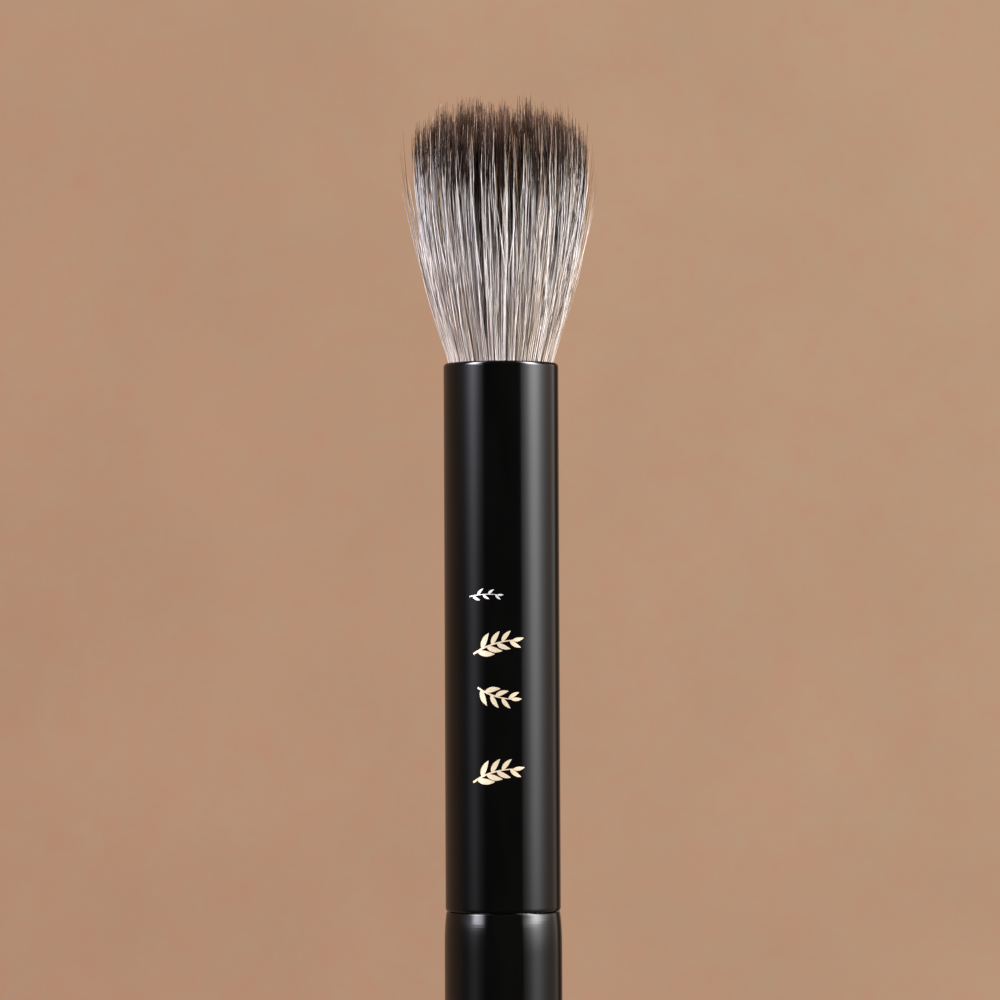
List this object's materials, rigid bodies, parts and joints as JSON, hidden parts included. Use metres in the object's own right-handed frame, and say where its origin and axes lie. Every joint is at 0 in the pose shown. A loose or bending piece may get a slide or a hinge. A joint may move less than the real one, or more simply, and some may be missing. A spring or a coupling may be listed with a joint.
{
  "type": "retractable hair brush",
  "caption": "Retractable hair brush: a flared round head of mixed hair in a gloss lacquered tube, whose sleeve slides up a stem to cover the hair and turns on it.",
  "frame": {"origin": "centre of the base plug's standing face", "axes": "+Z along the brush's axis, from the base towards the hair; +Y away from the side that carries the decoration"},
  "size_m": [0.0256, 0.0256, 0.1429],
  "materials": {
    "black_lacquer": "gloss",
    "black_plastic": "satin",
    "grey_plastic": "matte",
    "satin_aluminium": "satin",
    "steel": "satin",
    "brass": "satin",
    "nickel": "polished",
    "resin": "gloss",
    "thread": "matte",
    "brush_hair": "satin",
    "rubber": "matte"
  },
  "bodies": {
    "handle": {"handle_shell": "black_lacquer", "base_plug": "black_plastic", "balance_weight": "steel", "handle_core": "grey_plastic", "stem_screw": "steel", "screw_washer": "steel", "stem_foot": "brass", "stem_tube": "satin_aluminium", "head_plug": "satin_aluminium", "ferrule": "nickel", "root_resin": "resin", "binding_thread": "thread", "hair_bundle": "brush_hair"},
    "slide_ring": {"friction_ring": "rubber"},
    "sleeve": {"outer_sleeve": "black_lacquer", "lower_guide_bush": "black_plastic", "upper_guide_bush": "black_plastic", "stop_washer": "rubber"}
  },
  "joints": [
    {"name": "sleeve_slide", "type": "slide", "parent": "handle", "child": "slide_ring", "axis": [0, 0, 1], "range_m": [0, 0.039], "deforming": ["hair_bundle"]},
    {"name": "sleeve_turn", "type": "hinge", "parent": "slide_ring", "child": "sleeve", "pos_m": [0, 0, 0.0375], "axis": [0, 0, 1], "continuous": true}
  ]
}
